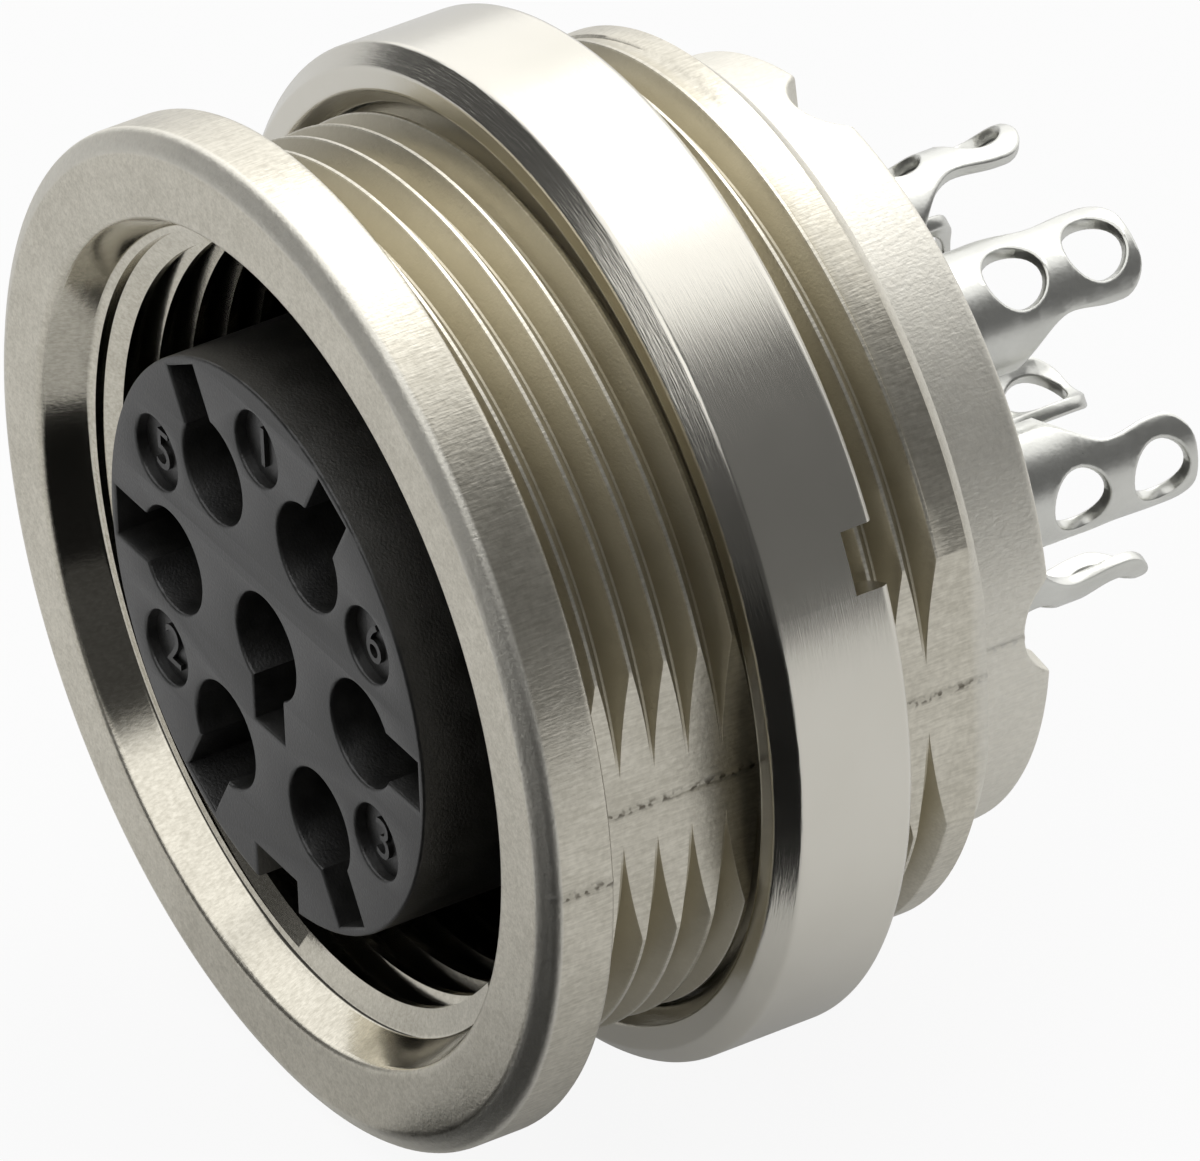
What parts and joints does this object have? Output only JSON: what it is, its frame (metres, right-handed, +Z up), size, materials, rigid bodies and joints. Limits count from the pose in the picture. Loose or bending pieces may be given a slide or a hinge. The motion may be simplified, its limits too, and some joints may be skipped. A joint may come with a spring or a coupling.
{
  "type": "circular connector",
  "caption": "Panel-mount circular socket connector: flanged threaded shell with flats, ring nut, insulating insert with keyhole contacts and eyelet solder tags.",
  "frame": {"origin": "on the connector's axis, in the plane where the flange seats on the panel", "axes": "+Y along the axis towards the solder tags, +Z up with the key groove at -Z"},
  "size_m": [0.0205, 0.0181, 0.0204],
  "materials": {
    "cast_nickel": "satin nickel plate on a die casting",
    "turned_nickel": "bright turned nickel plate",
    "insulator": "matte moulded",
    "tinned_contact": "satin tin plate"
  },
  "bodies": {
    "connector": {"shell": "cast_nickel", "insert": "insulator", "rear_plate": "insulator", "contact_1": "tinned_contact", "contact_2": "tinned_contact", "contact_3": "tinned_contact", "contact_4": "tinned_contact", "contact_5": "tinned_contact", "contact_6": "tinned_contact", "contact_7": "tinned_contact"},
    "nut": {"ring_nut": "turned_nickel"}
  },
  "joints": [
    {"name": "nut_turn", "type": "hinge", "parent": "connector", "child": "nut", "pos_m": [0, 0.00515, 0], "axis": [0, 1, 0], "continuous": true}
  ]
}
